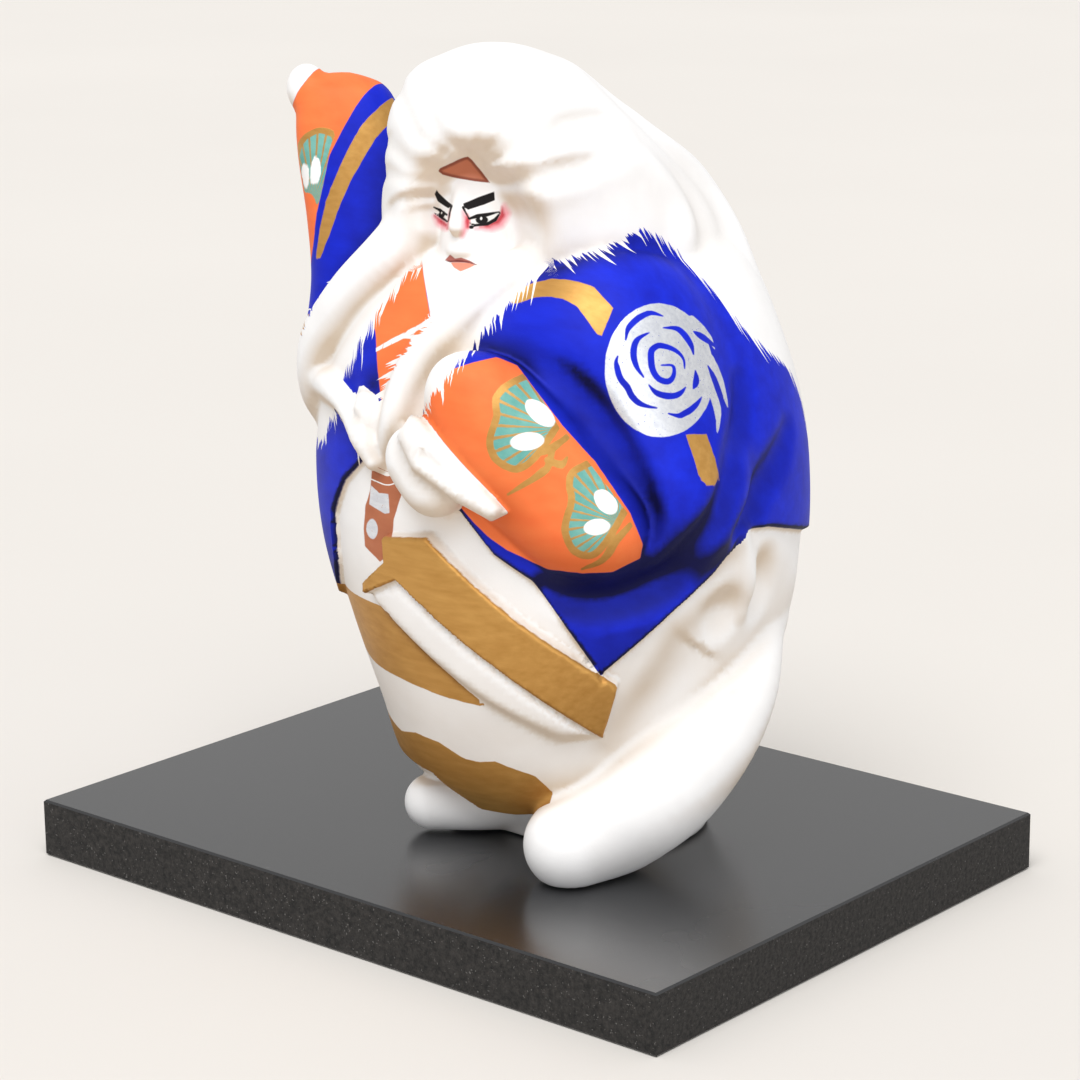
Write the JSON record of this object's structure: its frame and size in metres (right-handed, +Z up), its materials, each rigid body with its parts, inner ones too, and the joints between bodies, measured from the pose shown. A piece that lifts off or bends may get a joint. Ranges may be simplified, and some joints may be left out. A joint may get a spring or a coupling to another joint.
{
  "type": "hakata doll on a plinth",
  "caption": "Rounded clay doll of a lion dancer with long white mane, raised arm and wide sleeves, standing on a flat rectangular board.",
  "frame": {"origin": "centre of the plinth's underside", "axes": "+Z up, -Y the way the doll faces, +X toward the doll's own left"},
  "size_m": [0.2, 0.15, 0.2089],
  "materials": {
    "painted_clay": null,
    "black_board": "pressed wood board painted satin black, rough speckled sawn sides"
  },
  "bodies": {
    "root": {"figure": "painted_clay", "plinth_board": "black_board"}
  },
  "joints": []
}
